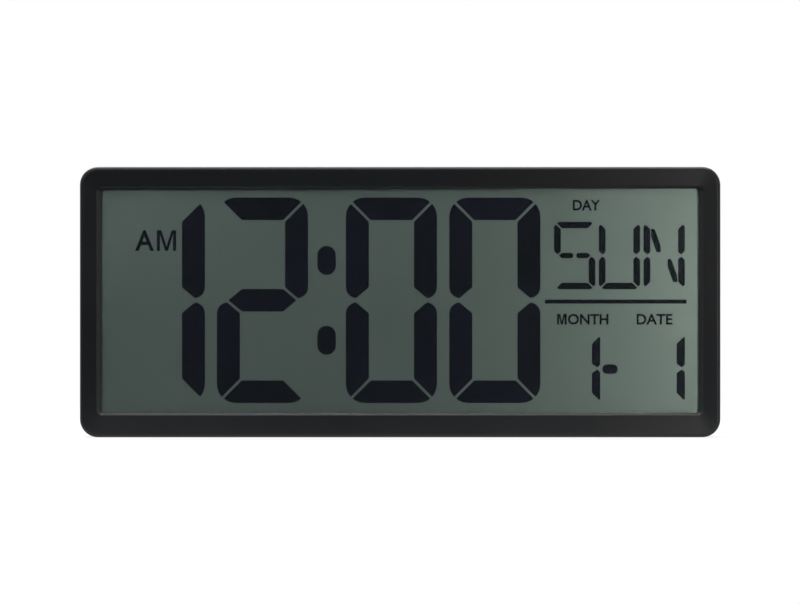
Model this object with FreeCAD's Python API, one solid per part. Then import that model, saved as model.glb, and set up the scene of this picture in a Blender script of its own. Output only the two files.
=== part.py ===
import FreeCAD, Part
import math
import os

# Large liquid-crystal clock that shows the time, the weekday and the date.
# It hangs on two screws through keyhole slots, or stands on its flat bottom edge with two feet
# folded out behind it.
#
# Frame: X to the viewer's right, Y from the display towards the back, Z up, in millimetres.
# The origin is the middle of the bottom face. Depths are worked out from the front face inwards,
# and for the battery bay, keys, feet and keyholes from the rear face inwards.

V = FreeCAD.Vector
SIDES = (-1, 1)

# A cutting tool runs this far past the face that it opens, and a welded block this far into its neighbour.
overrun = 1.0
weld = 0.5

# ---------------------------------------------------------------- driving sizes

# Case
case_width = 366.0
case_height = 154.5
case_depth = 30.0
case_corner = 10.3
front_depth = 17.0
housing_wall = 2.4
rim_round = 1.8
cover_wall = 2.2
cover_edge_round = 2.5
parting_groove = 0.5
lip_wall = 1.2
lip_depth = 1.6
lip_clearance = 0.2
lip_root = 3.0
least_corner = 0.5

# Bezel round the display
side_bar = 9.6
top_bar = 11.0
bottom_bar = 12.6
bezel_fall = 0.9
slope_margin = 0.3
bevel_side = 2.3
bevel_end = 1.4
bevel_depth = 1.6
inner_lip_round = 0.5
plate_thickness = 3.3
sight_corner = 3.0
window_corner = 1.5

# Display stack, front to back
tape_thickness = 0.2
tape_width = 1.6
tape_inset = 0.3
window_thickness = 1.5
air_gap = 0.2
polariser_thickness = 0.2
polariser_inset = 0.8
adhesive_gap = 0.02
glass_thickness = 1.1
cell_gap = 0.14
segment_thickness = 0.12
seal_width = 1.2
seal_inset = 0.4
reflector_thickness = 0.3
cushion_thickness = 0.8
cushion_width = 5.0
panel_overlap = 2.2
contact_ledge = 4.2
panel_clearance = 0.3
locating_rib = 1.2

# Frame that presses the display forwards and carries the circuit board
retainer_thickness = 1.8
retainer_bar = 9.0
retainer_web = 7.0
retainer_openings = 9
retainer_ear = 3.2
retainer_screw_heights = (30.0, 84.0, 136.0)
retainer_screw_bottom_x = 90.0
retainer_corner = 1.0
opening_corner = 3.0
retainer_bay_gap = 0.3

# Time digits, built from seven bars each
digit_width = 52.2
digit_height = 117.6
digit_upright = 13.2
digit_bar = 12.9
digit_corner = 11.0
digit_waist = 5.5
digit_notch = 2.6
digit_gap = 1.5
mitre_reach = 1.4
time_base = 19.5
hour_tens_x = -137.8
hour_units_x = -78.8
minute_tens_x = -5.0
minute_units_x = 54.2
colon_x = -42.1
colon_width = 10.6
colon_height = 16.5
colon_centres = (55.4, 101.1)

# Weekday letters, the line under them and the calendar figures
letter_width = 23.7
letter_height = 38.6
letter_upright = 3.9
letter_bar = 3.7
letter_middle = 3.1
letter_corner = 2.7
letter_waist = 2.1
letter_notch = 0.4
letter_gap = 0.8
letter_pitch = 25.6
letter_slant = 0.367
letter_diagonal = 3.7
diagonal_overlap = 1.3
middle_split = 1.1
middle_slope = 0.75
weekday_x = 99.9
weekday_base = 84.6
rule_left = 82.8
rule_right = 163.9
rule_base = 76.4
rule_height = 2.3
figure_width = 21.0
figure_height = 38.2
figure_upright = 4.8
figure_bar = 4.6
figure_corner = 1.6
figure_waist = 1.7
figure_notch = 0.4
figure_gap = 0.8
figure_base = 20.2
month_right = 114.5
date_right = 163.0
dash_x = 120.1
dash_width = 8.8
dash_height = 5.4
dash_z = 38.9
pill_flat = 0.01

# Circuit board and what it carries
board_width = 118.0
board_height = 49.0
board_thickness = 1.6
board_standoff = 1.2
board_corner = 1.5
board_top_gap = 3.3
board_screw_inset = 4.0
board_screw_drop = 8.0
standoff_radius = 3.2
zebra_length = 110.0
zebra_width = 2.4
zebra_corner = 0.4
blob_radius = 9.0
blob_height = 1.6
blob_above_edge = 10.0
crystal_radius = 1.0
crystal_length = 6.0
crystal_x = 16.0
chip_length = 2.0
chip_width = 1.25
chip_height = 0.55
chip_pitch = 4.5
chip_count = 5

# Self-tapping screws
case_screw_shank = 1.25
case_screw_head = 2.3
case_screw_length = 10.0
small_screw_shank = 1.0
small_screw_head = 1.9
retainer_screw_length = 5.0
board_screw_length = 4.2
head_height = 1.6
head_round = 0.6
pilot_clearance = 0.05
head_clearance = 0.3
pilot_spare = 0.6
boss_radius = 3.0
post_radius = 4.0
post_floor = 2.0
corner_boss_x = 5.8
corner_boss_z = 6.4
middle_boss_x = 62.0
boss_drop = 2.0

# Keys on the back
key_names = ("mode", "up", "down", "hour_format")
key_pitch = 22.0
key_width = 13.0
key_height = 7.0
key_corner = 1.6
key_below_top = 28.5
key_clearance = 0.25
key_flange = 1.2
key_flange_thickness = 1.2
key_rest_gap = 0.05
key_sunk = 0.4
key_dish = 0.35
key_dish_rim = 0.6
key_travel = 0.5
key_edge_round = 0.4
panel_depth = 1.2
panel_margin = 5.0
panel_corner = 4.0
switch_side = 6.0
switch_height = 3.5
switch_spare = 2.0
plunger_radius = 1.75
plunger_height = 1.9
plunger_inside = 1.0
plunger_clearance = 0.1
stem_radius = 2.2

# Battery bay: two AA cells, one above the other
cell_radius = 7.1
cell_length = 50.5
cell_end_round = 0.6
nub_radius = 2.6
nub_length = 1.3
cell_spacing = 0.8
cell_clearance = 0.4
bay_centre_z = 62.0
bay_wall = 1.5
bay_corner = 1.5
contact_thickness = 0.4
contact_side = 11.0
contact_tail_width = 3.0
contact_tail_reach = 2.5
contact_tail_z = 4.0
tail_slot_side = 0.2
tail_slot_face = 0.1
dimple_radius = 2.2
dimple_height = 1.6
spring_length = 5.1
spring_base_radius = 4.2
spring_tip_radius = 2.8
spring_wire = 0.4
spring_turns = 3
spring_steps = 10

# Battery door
door_thickness = 2.0
door_sunk = 0.3
door_margin = 3.0
door_clearance = 0.25
door_corner = 2.5
door_seat = 2.0
door_tab_x = 20.0
door_tab_width = 9.0
door_tab_reach = 3.0
door_tab_thickness = 1.2
door_tab_gap = 0.2
latch_width = 14.0
latch_slit = 0.8
latch_length = 8.0
grip_width = 20.0
grip_height = 5.0
grip_depth = 0.9
grip_below_latch = 4.5

# Leads from the battery contacts to the board
lead_radius = 0.6
lead_bend_share = 0.45

# Folding feet
foot_x = 118.0
foot_width = 30.0
foot_length = 50.0
foot_axis = 3.6
foot_heel = 3.4
foot_inner = 2.7
foot_skin = 2.0
foot_flange = 1.8
foot_hub = 6.5
foot_corner = 5.0
foot_side_gap = 0.5
foot_tip_gap = 3.2
foot_swing_gap = 0.3
foot_floor_gap = 0.5
trunnion_radius = 1.8
trunnion_length = 2.7
trunnion_clearance = 0.06
recess_wall = 1.6
cheek_wall = 4.0
stop_gap = 0.05
stop_nose_reach = 1.4
stop_nose_height = 3.0
stop_nose_width = 9.0
stop_nose_gap = 0.6
stop_notch_start = 1.5
stop_notch_height = 8.0
pad_width = 18.0
pad_length = 7.0
pad_depth = 1.0
pad_proud = 0.2
pad_from_tip = 2.5
pad_corner = 2.0

# Keyhole slots for hanging
keyhole_spacing = 240.0
keyhole_below_top = 27.0
keyhole_entry = 4.5
keyhole_slot = 2.2
keyhole_rise = 9.0
keyhole_pocket_width = 14.0
keyhole_pocket_depth = 6.0
keyhole_pocket_wall = 1.4
keyhole_pocket_spare = 1.0
keyhole_pocket_corner = 1.0

# Snap hooks that hold the cover's top edge
hook_x = 62.0
hook_width = 14.0
hook_reach = 2.2
hook_barb = 0.7
hook_barb_length = 1.4
hook_pocket_gap = 0.2

# Stiffening ribs inside the cover
cover_rib_wall = 1.2
cover_rib_height = 3.0
cover_rib_places = (-150.0, -80.0, 80.0, 150.0)

# ---------------------------------------------------------------- places worked out from them

half_width = case_width / 2
y_front = -case_depth / 2
y_rear = case_depth / 2
y_part = y_front + front_depth
y_boss = y_part - boss_drop

sight_half = half_width - side_bar
sight_low = bottom_bar
sight_high = case_height - top_bar
window_half = sight_half - bevel_side
window_low = sight_low + bevel_end
window_high = sight_high - bevel_end

panel_half = window_half + panel_overlap
panel_low = window_low - panel_overlap
cell_high = window_high + panel_overlap
panel_high = cell_high + contact_ledge

y_lip = y_front + bezel_fall
y_sill = y_lip + bevel_depth
y_plate = y_front + plate_thickness
y_window = y_plate + tape_thickness
y_polariser = y_window + window_thickness + air_gap
y_front_glass = y_polariser + polariser_thickness + adhesive_gap
y_cell = y_front_glass + glass_thickness
y_rear_glass = y_cell + cell_gap
y_segment = y_rear_glass - segment_thickness
y_reflector = y_rear_glass + glass_thickness
y_cushion = y_reflector + reflector_thickness
y_retainer = y_cushion + cushion_thickness
y_retainer_back = y_retainer + retainer_thickness
y_board = y_retainer_back + board_standoff
y_board_back = y_board + board_thickness
board_high = case_height - housing_wall - board_top_gap
board_low = board_high - board_height
zebra_z = (cell_high + panel_high) / 2

y_cover_inner = y_rear - cover_wall
y_panel_face = y_rear - panel_depth
y_panel_inner = y_panel_face - cover_wall
key_z = case_height - key_below_top
key_span = key_pitch * (len(key_names) - 1)
key_xs = [i * key_pitch - key_span / 2 for i in range(len(key_names))]
y_key_flange = y_panel_inner - key_rest_gap - key_flange_thickness
y_plunger_top = y_board_back + switch_height + plunger_height

cell_pitch = 2 * cell_radius + cell_spacing
bay_half_x = (cell_length + dimple_height + spring_length) / 2 + contact_thickness
bay_half_z = cell_pitch / 2 + cell_radius + cell_clearance
y_door_face = y_rear - door_sunk
y_door = y_door_face - door_thickness
y_cell_axis = y_door - cell_clearance - cell_radius
y_bay_floor = y_cell_axis - cell_radius - cell_clearance
door_half_x = bay_half_x + door_margin
door_half_z = bay_half_z + door_margin
door_low = bay_centre_z - door_half_z
door_high = bay_centre_z + door_half_z
upper_cell_z = bay_centre_z + cell_pitch / 2
lower_cell_z = bay_centre_z - cell_pitch / 2

y_foot_axis = y_rear - foot_axis
foot_tip_z = foot_axis + foot_length
recess_half = foot_width / 2 + foot_side_gap
recess_top = foot_tip_z + foot_tip_gap
y_recess_floor = y_foot_axis - foot_inner - foot_floor_gap
y_heel_pocket = y_foot_axis - math.hypot(foot_inner, foot_heel) - foot_swing_gap
heel_pocket_top = foot_axis + foot_inner + stop_gap
y_cover_front = min(y_boss, y_bay_floor - bay_wall, y_heel_pocket - recess_wall)

keyhole_z = case_height - keyhole_below_top

corner_screws = [
    (side * (half_width - corner_boss_x), z)
    for side in SIDES
    for z in (corner_boss_z, case_height - corner_boss_z)
]
case_screws = corner_screws + [(side * middle_boss_x, corner_boss_z) for side in SIDES]
retainer_side_screws = [
    (side * (half_width - corner_boss_x), z) for side in SIDES for z in retainer_screw_heights
]
retainer_bottom_screws = [(side * retainer_screw_bottom_x, corner_boss_z) for side in SIDES]
retainer_screws = retainer_side_screws + retainer_bottom_screws
board_screws = [
    (side * (board_width / 2 - board_screw_inset), z)
    for side in SIDES
    for z in (board_low + board_screw_inset, board_high - board_screw_drop)
]


# ---------------------------------------------------------------- shapes used by many pieces

def outline_wire(left, right, low, high, low_radius, high_radius, y, chamfered=False):
    """Closed outline at depth y: a rectangle with one radius, or one chamfer, below and one above."""
    corners = [(right, low, low_radius, -90), (right, high, high_radius, 0),
               (left, high, high_radius, 90), (left, low, low_radius, 180)]
    edges = []
    previous = None
    first = None
    for x, z, radius, start in corners:
        turn = math.radians(start + 45)
        centre_x = x - math.copysign(radius, math.cos(turn))
        centre_z = z - math.copysign(radius, math.sin(turn))
        angles = [math.radians(start + step) for step in (0, 45, 90)]
        arc = [V(centre_x + radius * math.cos(a), y, centre_z + radius * math.sin(a)) for a in angles]
        if previous is None:
            first = arc[0]
        else:
            edges.append(Part.LineSegment(previous, arc[0]).toShape())
        if radius > 0 and chamfered:
            edges.append(Part.LineSegment(arc[0], arc[2]).toShape())
        elif radius > 0:
            edges.append(Part.Arc(*arc).toShape())
        previous = arc[2]
    edges.append(Part.LineSegment(previous, first).toShape())
    return Part.Wire(edges)


def slab(left, right, low, high, radius, y0, y1, high_radius=None):
    """Plate between two depths, with rounded corners."""
    upper = radius if high_radius is None else high_radius
    wire = outline_wire(left, right, low, high, radius, upper, y0)
    return Part.Face(wire).extrude(V(0, y1 - y0, 0))


def box(x0, x1, y0, y1, z0, z1):
    """Plain block between two corners."""
    return Part.makeBox(x1 - x0, y1 - y0, z1 - z0, V(x0, y0, z0))


def centred(x, z, width, height, radius, y0, y1):
    """Plate with rounded corners, centred on one place of the display's plane."""
    return slab(x - width / 2, x + width / 2, z - height / 2, z + height / 2, radius, y0, y1)


def rod(radius, start, end):
    """Round bar between two points."""
    along = end - start
    return Part.makeCylinder(radius, along.Length, start, along)


def polygon_face(places, y):
    """Flat face at depth y through a few (x, z) places."""
    points = [V(x, y, z) for x, z in places]
    return Part.Face(Part.Wire(Part.makePolygon(points + [points[0]])))


def side_profile(places, x, width):
    """Solid of a (y, z) profile, centred on x along its width."""
    points = [V(x - width / 2, y, z) for y, z in places]
    return Part.Face(Part.makePolygon(points + [points[0]])).extrude(V(width, 0, 0))


def join(shapes):
    """One solid out of pieces that touch or overlap."""
    return shapes[0].multiFuse(shapes[1:]).removeSplitter()


def edges_at_depth(shape, y):
    """Edges that lie wholly at one depth."""
    found = []
    for edge in shape.Edges:
        reach = edge.BoundBox
        if abs(reach.YMin - y) < 1e-4 and abs(reach.YMax - y) < 1e-4:
            found.append(edge)
    return found


def case_slab(inset, y0, y1):
    """The case's own outline, moved in by an inset, between two depths."""
    return slab(-half_width + inset, half_width - inset, inset, case_height - inset,
                max(case_corner - inset, least_corner), y0, y1)


def panel_slab(grow, y0, y1, high=None):
    """The display glass's outline, grown by an amount, between two depths."""
    top = panel_high if high is None else high
    return slab(-panel_half - grow, panel_half + grow, panel_low - grow, top + grow, 0, y0, y1)


def pan_screw(x, z, y_seat, length, shank, head):
    """Pan-head screw that points forwards, with its head seated at y_seat."""
    shoulder = head_height - head_round
    turn = head_round * (1 - math.cos(math.radians(45)))
    profile = [V(0, head_height, 0), V(0, -length, 0), V(shank / 2, -length, 0), V(shank, shank - length, 0),
               V(shank, 0, 0), V(head, 0, 0), V(head, shoulder, 0)]
    edges = [Part.LineSegment(a, b).toShape() for a, b in zip(profile, profile[1:])]
    crown = V(head - head_round, head_height, 0)
    edges.append(Part.Arc(profile[-1], V(head - turn, head_height - turn, 0), crown).toShape())
    edges.append(Part.LineSegment(crown, profile[0]).toShape())
    screw = Part.Face(Part.Wire(edges)).revolve(V(0, 0, 0), V(0, 1, 0), 360)
    screw.translate(V(x, y_seat, z))
    return screw


# ---------------------------------------------------------------- front housing

def bezel_cut():
    """The sloping face, the bevel under it and the opening, as one tool."""
    rim = rim_round + slope_margin
    outer = outline_wire(-half_width + rim, half_width - rim, rim, case_height - rim,
                         case_corner - rim, case_corner - rim, y_front)
    lip = outline_wire(-sight_half, sight_half, sight_low, sight_high, sight_corner, sight_corner, y_lip)
    sill = outline_wire(-window_half, window_half, window_low, window_high, window_corner, window_corner,
                        y_sill)
    slope = Part.makeLoft([outer, lip], True, True)
    bevel = Part.makeLoft([lip, sill], True, True)
    through = slab(-window_half, window_half, window_low, window_high, window_corner, y_sill, y_part)
    return [slope, bevel, through]


def glass_rib():
    """Low rib on the back of the bezel that centres the window and the display."""
    depth = y_retainer - panel_clearance
    outer = panel_slab(panel_clearance + locating_rib, y_plate, depth)
    return outer.cut(panel_slab(panel_clearance, y_plate, depth))


def hook_pockets():
    """Blind pockets in the top wall that the cover's hooks snap into."""
    ceiling = case_height - housing_wall
    y0 = y_part - lip_depth - hook_reach - hook_pocket_gap
    y1 = y0 + hook_barb_length + 2 * hook_pocket_gap
    half = hook_width / 2 + hook_pocket_gap
    height = hook_barb + hook_pocket_gap
    return [box(side * hook_x - half, side * hook_x + half, y0, y1, ceiling - weld, ceiling + height)
            for side in SIDES]


def front_housing():
    """Moulded shell round the display, with its bosses and the rib that centres the glass."""
    body = case_slab(0, y_front, y_part)
    body = body.makeFillet(rim_round, edges_at_depth(body, y_front))
    for tool in bezel_cut():
        body = body.cut(tool)
    body = body.makeFillet(inner_lip_round, edges_at_depth(body, y_lip))
    body = body.cut(case_slab(housing_wall, y_plate, y_part))
    case_bosses = [rod(boss_radius, V(x, y_plate, z), V(x, y_boss, z)) for x, z in case_screws]
    low_bosses = [rod(boss_radius, V(x, y_plate, z), V(x, y_retainer, z)) for x, z in retainer_screws]
    body = join([body, glass_rib()] + case_bosses + low_bosses)
    pilots = []
    for x, z in case_screws:
        depth = case_screw_length - post_floor + pilot_spare
        pilots.append(rod(case_screw_shank + pilot_clearance, V(x, y_boss, z), V(x, y_boss - depth, z)))
    small_pilot = small_screw_shank + pilot_clearance
    for x, z in retainer_screws:
        depth = retainer_screw_length - retainer_thickness + pilot_spare
        pilots.append(rod(small_pilot, V(x, y_retainer, z), V(x, y_retainer - depth, z)))
    return body.cut(pilots + hook_pockets())


# ---------------------------------------------------------------- display

def sheet_ring(grow, width, y0, y1, high=None):
    """Flat frame along the edge of the display glass."""
    return panel_slab(grow, y0, y1, high).cut(panel_slab(grow - width, y0, y1, high))


def display_window():
    """Clear acrylic pane over the whole display."""
    return panel_slab(0, y_window, y_window + window_thickness)


def window_tape():
    """Double-sided tape that holds the pane to the back of the bezel."""
    return sheet_ring(-tape_inset, tape_width, y_plate, y_window)


def front_polariser():
    """Film on the viewer's side of the front glass."""
    return panel_slab(-polariser_inset, y_polariser, y_polariser + polariser_thickness, cell_high)


def front_glass():
    """Front sheet of the liquid-crystal cell, with the contact ledge along its top."""
    return panel_slab(0, y_front_glass, y_cell)


def cell_seal():
    """Glue line that closes the liquid-crystal cell."""
    return sheet_ring(-seal_inset, seal_width, y_cell, y_rear_glass, cell_high)


def rear_glass():
    """Rear sheet of the liquid-crystal cell, shorter by the contact ledge."""
    return panel_slab(0, y_rear_glass, y_reflector, cell_high)


def reflector():
    """Rear polariser with the grey reflecting film."""
    return panel_slab(-polariser_inset, y_reflector, y_cushion, cell_high)


def cushion():
    """Foam strip between the reflector and the frame that presses the display forwards."""
    return sheet_ring(-polariser_inset, cushion_width, y_cushion, y_retainer, cell_high)


def strip_face(start, end, width, beyond=0.0):
    """Straight band of one width between two (x, z) places, run on past its end."""
    run_x = end[0] - start[0]
    run_z = end[1] - start[1]
    length = math.hypot(run_x, run_z)
    over_x = -run_z / length * width / 2
    over_z = run_x / length * width / 2
    end_x = end[0] + run_x / length * beyond
    end_z = end[1] + run_z / length * beyond
    places = [(start[0] + over_x, start[1] + over_z), (end_x + over_x, end_z + over_z),
              (end_x - over_x, end_z - over_z), (start[0] - over_x, start[1] - over_z)]
    return polygon_face(places, y_segment)


class Figure:
    """A seven-bar figure, or a letter cell with a split middle bar and two diagonals."""

    def __init__(self, left, base, width, height, upright, bar, middle_bar, corner, waist, notch, gap,
                 chamfered=True):
        self.left = left
        self.right = left + width
        self.base = base
        self.top = base + height
        self.middle = base + height / 2
        self.centre = left + width / 2
        self.upright = upright
        self.bar = bar
        self.gap = gap
        self.shoulder = middle_bar / 2
        self.plate = self.figure_of_eight(corner, waist, notch, chamfered)

    def figure_of_eight(self, corner, waist, notch, chamfered):
        """All bars in one plane, parted by their mitred gaps."""
        nose = waist + self.gap / 2
        lower = Part.Face(outline_wire(self.left, self.right, self.base, self.middle - notch / 2,
                                       corner, nose, y_segment, chamfered))
        upper = Part.Face(outline_wire(self.left, self.right, self.middle + notch / 2, self.top,
                                       nose, corner, y_segment, chamfered))
        inner_left = self.left + self.upright
        inner_right = self.right - self.upright
        inner_top = self.top - self.bar
        inner_base = self.base + self.bar
        under_bar = self.middle - self.shoulder
        over_bar = self.middle + self.shoulder
        bridge = Part.Face(outline_wire(self.left + nose, self.right - nose, under_bar, over_bar, 0, 0,
                                        y_segment))
        spans = ((inner_base, under_bar), (over_bar, inner_top))
        holes = [Part.Face(outline_wire(inner_left, inner_right, low, high, 0, 0, y_segment))
                 for low, high in spans]
        strips = []
        for outer_x, inner_x in ((self.left, inner_left), (self.right, inner_right)):
            lean = math.copysign(1, inner_x - outer_x)
            out_x = inner_x - lean * self.upright * mitre_reach
            tip = (outer_x + lean * waist, self.middle)
            for inner_z, turn in ((inner_top, 1), (inner_base, -1)):
                out_z = inner_z + turn * self.upright * mitre_reach
                strips.append(strip_face((out_x, out_z), (inner_x, inner_z), self.gap, self.gap))
                shoulder_corner = (inner_x, self.middle + turn * self.shoulder)
                strips.append(strip_face(tip, shoulder_corner, self.gap, self.gap))
        return lower.fuse([upper, bridge]).removeSplitter().cut(holes).cut(strips)

    def bars(self, names):
        """The chosen bars as thin solids."""
        quarter = (self.top - self.base) / 4
        inset = self.upright / 2
        places = {
            "top": (self.centre, self.top - self.bar / 2),
            "middle": (self.centre, self.middle),
            "bottom": (self.centre, self.base + self.bar / 2),
            "upper_left": (self.left + inset, self.middle + quarter),
            "lower_left": (self.left + inset, self.middle - quarter),
            "upper_right": (self.right - inset, self.middle + quarter),
            "lower_right": (self.right - inset, self.middle - quarter),
        }
        found = []
        for name in names:
            x, z = places[name]
            spot = Part.Vertex(V(x, y_segment, z))
            found.append(min(self.plate.Faces, key=lambda face: face.distToShape(spot)[0]))
        return [face.extrude(V(0, segment_thickness, 0)) for face in found]

    def split_middle(self):
        """The middle bar parted into a left and a right half with pointed ends."""
        half = middle_split / 2
        wide = half + self.bar * middle_slope
        low = self.middle - self.bar
        high = self.middle + self.bar
        places = [(self.centre - half, self.middle), (self.centre - wide, low), (self.centre + wide, low),
                  (self.centre + half, self.middle), (self.centre + wide, high), (self.centre - wide, high)]
        parting = polygon_face(places, y_segment).extrude(V(0, segment_thickness, 0))
        return self.bars(["middle"])[0].cut(parting).Solids

    def diagonal(self, side, turn):
        """Slanting bar of the quarter to one side (-1 left) and end (1 upper)."""
        near = self.middle + turn * (self.shoulder + self.gap / 2)
        far = self.middle + turn * ((self.top - self.base) / 2 - self.bar - self.gap / 2)
        wall = self.centre + side * ((self.right - self.left) / 2 - self.upright - self.gap / 2)
        inner = self.centre + side * (self.upright / 2)
        low, high = sorted((near, far))
        x0, x1 = sorted((wall, inner))
        foot = x1 + diagonal_overlap
        rise = high - low
        sloped = polygon_face([(foot - letter_diagonal, low), (foot, low), (foot - letter_slant * rise, high),
                               (foot - letter_diagonal - letter_slant * rise, high)], y_segment)
        quarter = polygon_face([(x0, low), (x1, low), (x1, high), (x0, high)], y_segment)
        return sloped.common(quarter).extrude(V(0, segment_thickness, 0)).Solids[0]


def time_digit(centre):
    """One large digit cell of the time."""
    return Figure(centre - digit_width / 2, time_base, digit_width, digit_height, digit_upright, digit_bar,
                  digit_bar, digit_corner, digit_waist, digit_notch, digit_gap, chamfered=False)


def calendar_figure(right):
    """One digit cell of the month or the date."""
    return Figure(right - figure_width, figure_base, figure_width, figure_height, figure_upright, figure_bar,
                  figure_bar, figure_corner, figure_waist, figure_notch, figure_gap)


def weekday_letter(place):
    """One letter cell of the weekday, counted from the left."""
    return Figure(weekday_x - letter_width / 2 + place * letter_pitch, weekday_base, letter_width,
                  letter_height, letter_upright, letter_bar, letter_middle, letter_corner, letter_waist,
                  letter_notch, letter_gap)


def pill(x, z, width, height):
    """Dark bar with fully round ends."""
    radius = min(width, height) / 2 - pill_flat
    return centred(x, z, width, height, radius, y_segment, y_rear_glass)


def time_segments():
    """Dark bars that spell the time, with the colon's two pills."""
    one = ["upper_right", "lower_right"]
    two = ["top", "upper_right", "middle", "lower_left", "bottom"]
    zero = ["top", "upper_left", "upper_right", "lower_left", "lower_right", "bottom"]
    parts = time_digit(hour_tens_x).bars(one) + time_digit(hour_units_x).bars(two)
    parts += time_digit(minute_tens_x).bars(zero) + time_digit(minute_units_x).bars(zero)
    for z in colon_centres:
        parts.append(pill(colon_x, z, colon_width, colon_height))
    return Part.makeCompound(parts)


def calendar_segments():
    """Dark bars of the weekday, the line under it, and the month and date."""
    letter_s, letter_u, letter_n = [weekday_letter(place) for place in range(3)]
    parts = letter_s.bars(["top", "upper_left", "lower_right", "bottom"]) + letter_s.split_middle()
    uprights = ["upper_left", "lower_left", "upper_right", "lower_right"]
    parts += letter_u.bars(uprights + ["bottom"])
    parts += letter_n.bars(uprights) + [letter_n.diagonal(-1, 1), letter_n.diagonal(1, -1)]
    parts.append(box(rule_left, rule_right, y_segment, y_rear_glass, rule_base,
                     rule_base + rule_height))
    for right in (month_right, date_right):
        parts += calendar_figure(right).bars(["upper_right", "lower_right"])
    parts.append(pill(dash_x, dash_z, dash_width, dash_height))
    return Part.makeCompound(parts)


# ---------------------------------------------------------------- retainer and circuit board

def bay_room():
    """Room that the battery bay needs where it reaches in as far as the retainer."""
    grow = bay_wall + retainer_bay_gap
    return centred(0, bay_centre_z, 2 * (bay_half_x + grow), 2 * (bay_half_z + grow), bay_corner,
                   y_bay_floor - grow, y_rear)


def retainer():
    """Openwork frame that presses on the foam, with ears for its screws and standoffs for the board."""
    top = cell_high - panel_clearance
    body = slab(-panel_half, panel_half, panel_low, top, retainer_corner, y_retainer, y_retainer_back)
    ears = []
    for x, z in retainer_side_screws:
        inner = math.copysign(panel_half - retainer_ear, x)
        x0, x1 = sorted((inner, x))
        ears.append(box(x0, x1, y_retainer, y_retainer_back, z - retainer_ear, z + retainer_ear))
    for x, z in retainer_bottom_screws:
        ears.append(box(x - retainer_ear, x + retainer_ear, y_retainer, y_retainer_back, z,
                        panel_low + retainer_ear))
    ears += [rod(retainer_ear, V(x, y_retainer, z), V(x, y_retainer_back, z)) for x, z in retainer_screws]
    posts = [rod(standoff_radius, V(x, y_retainer, z), V(x, y_board, z)) for x, z in board_screws]
    body = join([body] + ears)
    span = 2 * (panel_half - retainer_bar) + retainer_web
    pitch = span / retainer_openings
    cuts = []
    rows = ((panel_low + retainer_bar, board_low - retainer_web),
            (board_low, top - retainer_bar))
    for low, high in rows:
        for i in range(retainer_openings):
            left = -panel_half + retainer_bar + i * pitch
            cuts.append(slab(left, left + pitch - retainer_web, low, high, opening_corner, y_retainer,
                             y_retainer_back))
    uprights = [box(x - standoff_radius, x + standoff_radius, y_retainer, y_retainer_back, board_low,
                    top - opening_corner) for x, z in board_screws[::2]]
    body = join([body.cut(cuts)] + uprights + posts).cut(bay_room())
    holes = [rod(small_screw_shank + pilot_clearance, V(x, y_retainer, z), V(x, y_board, z))
             for x, z in retainer_screws + board_screws]
    return body.cut(holes)


def retainer_fasteners():
    """Screws that hold the retainer to the front housing."""
    return Part.makeCompound([
        pan_screw(x, z, y_retainer_back, retainer_screw_length, small_screw_shank, small_screw_head)
        for x, z in retainer_screws])


def zebra_connector():
    """Rubber strip of fine conductors between the glass's ledge and the board."""
    return slab(-zebra_length / 2, zebra_length / 2, zebra_z - zebra_width / 2, zebra_z + zebra_width / 2,
                zebra_corner, y_cell, y_board)


def main_board():
    """Circuit board with its screw holes."""
    body = slab(-board_width / 2, board_width / 2, board_low, board_high, board_corner, y_board, y_board_back)
    holes = [rod(small_screw_shank + pilot_clearance, V(x, y_board, z), V(x, y_board_back, z))
             for x, z in board_screws]
    return body.cut(holes)


def board_fasteners():
    """Screws that hold the board to the retainer's standoffs."""
    return Part.makeCompound([
        pan_screw(x, z, y_board_back, board_screw_length, small_screw_shank, small_screw_head)
        for x, z in board_screws])


def driver_blob():
    """Round cap of black resin over the bare display driver."""
    start = V(blob_radius, 0, 0)
    crown = V(0, blob_height, 0)
    sphere = (blob_radius ** 2 + blob_height ** 2) / (2 * blob_height)
    half_angle = math.asin(blob_radius / sphere) / 2
    between = V(sphere * math.sin(half_angle), sphere * math.cos(half_angle) - sphere + blob_height, 0)
    edges = [Part.LineSegment(V(0, 0, 0), start).toShape(), Part.Arc(start, between, crown).toShape(),
             Part.LineSegment(crown, V(0, 0, 0)).toShape()]
    dome = Part.Face(Part.Wire(edges)).revolve(V(0, 0, 0), V(0, 1, 0), 360)
    dome.translate(V(0, y_board_back, board_low + blob_above_edge))
    return dome


def quartz_crystal():
    """Small round can that lies on the board beside the driver."""
    z = board_low + blob_above_edge
    y = y_board_back + crystal_radius
    half = crystal_length / 2
    return rod(crystal_radius, V(crystal_x, y, z - half), V(crystal_x, y, z + half))


def chip_components():
    """Small resistors and capacitors in a row beside the driver."""
    parts = []
    for i in range(chip_count):
        x = -crystal_x - i * chip_pitch
        z = board_low + blob_above_edge
        parts.append(box(x - chip_width / 2, x + chip_width / 2, y_board_back, y_board_back + chip_height,
                         z - chip_length / 2, z + chip_length / 2))
    return Part.makeCompound(parts)


def switch_bodies():
    """The four push switches' cases on the board, each with a bore for its plunger."""
    parts = []
    half = switch_side / 2
    y_top = y_board_back + switch_height
    for x in key_xs:
        case = box(x - half, x + half, y_board_back, y_top, key_z - half, key_z + half)
        y_bottom = y_top - plunger_inside - switch_spare * key_travel
        bore = rod(plunger_radius + plunger_clearance, V(x, y_top, key_z), V(x, y_bottom, key_z))
        parts.append(case.cut(bore))
    return Part.makeCompound(parts)


def switch_plunger(x):
    """Plunger of one push switch."""
    y0 = y_board_back + switch_height - plunger_inside
    return rod(plunger_radius, V(x, y0, key_z), V(x, y_plunger_top, key_z))


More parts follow.
